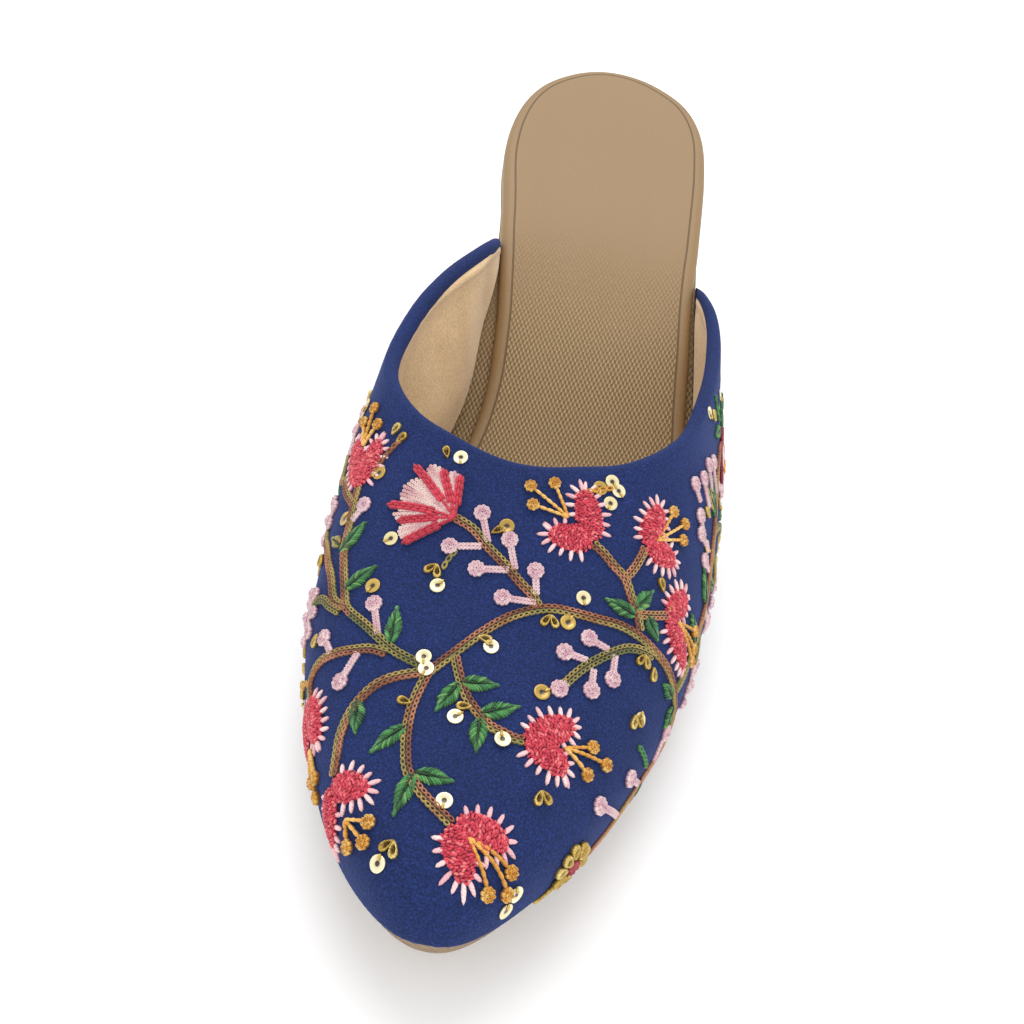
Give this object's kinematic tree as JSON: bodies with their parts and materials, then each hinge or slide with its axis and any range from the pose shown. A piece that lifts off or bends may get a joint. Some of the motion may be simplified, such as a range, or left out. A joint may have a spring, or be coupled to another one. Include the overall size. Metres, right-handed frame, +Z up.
{
  "type": "heeled mule",
  "caption": "Left almond-toe mule with an embroidered fabric upper, a wrapped footbed and a leather-wrapped block heel.",
  "frame": {"origin": "on the floor, under the middle of the shoe's box", "axes": "+Z up, toe towards -Y, heel towards +Y, medial side towards -X"},
  "size_m": [0.0757, 0.25, 0.0659],
  "materials": {
    "blue_fabric": "fine plain weave",
    "tan_footbed": "embossed synthetic leather",
    "tan_sole": "matte sheet",
    "tan_heel_wrap": "pebbled synthetic leather",
    "heel_tip_plastic": "moulded, matte"
  },
  "bodies": {
    "root": {"upper": "blue_fabric", "insole": "tan_footbed", "outsole": "tan_sole", "heel": "tan_heel_wrap", "heel_tip": "heel_tip_plastic"}
  },
  "joints": []
}
